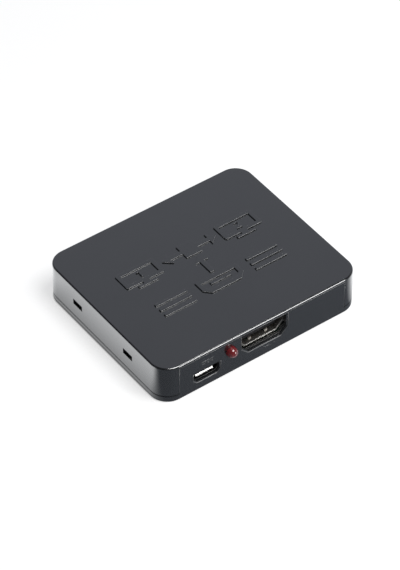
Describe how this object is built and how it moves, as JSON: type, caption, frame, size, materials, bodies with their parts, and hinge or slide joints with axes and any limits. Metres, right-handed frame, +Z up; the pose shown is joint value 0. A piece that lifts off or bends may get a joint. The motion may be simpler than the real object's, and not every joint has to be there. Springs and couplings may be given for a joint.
{
  "type": "hdmi splitter",
  "caption": "Flat black splitter box with rounded corners: video input, micro USB power socket and red lamp in front, video outputs behind, snap-fitted top cover.",
  "frame": {"origin": "middle of the case's underside, where it rests", "axes": "+Z up, +X along the port panels to the right as seen from the input side, +Y from the input panel to the output panel"},
  "size_m": [0.064, 0.055, 0.012],
  "materials": {
    "case_plastic": "satin black moulded plastic",
    "board_mask": "green solder mask over glass fibre board",
    "socket_steel": "nickel-plated sheet steel",
    "insulator_plastic": "black heat-resistant plastic",
    "contact_gold": "gold-flashed contacts",
    "lamp_red": "clear red resin, unlit",
    "tinned_lead": "tinned leads",
    "chip_resin": "black moulding resin",
    "can_steel": "drawn steel can",
    "capacitor_ceramic": "tan ceramic",
    "resistor_glaze": "black glaze",
    "bulk_resin": "yellow moulding resin",
    "ferrite": "grey sintered ferrite",
    "solder": "bright solder and tinned ends"
  },
  "bodies": {
    "base": {"bottom_cover": "case_plastic", "snap_hooks": "case_plastic", "main_board": "board_mask", "input_shell": "socket_steel", "input_insulator": "insulator_plastic", "input_contacts": "contact_gold", "output_1_shell": "socket_steel", "output_1_insulator": "insulator_plastic", "output_1_contacts": "contact_gold", "output_2_shell": "socket_steel", "output_2_insulator": "insulator_plastic", "output_2_contacts": "contact_gold", "power_shell": "socket_steel", "power_insulator": "insulator_plastic", "power_contacts": "contact_gold", "lamp_lens": "lamp_red", "lamp_leads": "tinned_lead", "splitter_chip": "chip_resin", "splitter_chip_leads": "tinned_lead", "memory_chip": "chip_resin", "memory_chip_leads": "tinned_lead", "regulators": "chip_resin", "regulator_leads": "tinned_lead", "crystal_can": "can_steel", "crystal_base": "insulator_plastic", "ceramic_capacitors": "capacitor_ceramic", "capacitor_ends": "solder", "resistors": "resistor_glaze", "resistor_ends": "solder", "bulk_capacitors": "bulk_resin", "bulk_capacitor_ends": "solder", "ferrite_bead": "ferrite", "ferrite_bead_ends": "solder", "solder_joints": "solder"},
    "cover": {"top_cover": "case_plastic"}
  },
  "joints": [
    {"name": "cover_lift", "type": "slide", "parent": "base", "child": "cover", "axis": [0, 0, 1], "range_m": [0, 0.04], "deforming": ["snap_hooks"]}
  ]
}
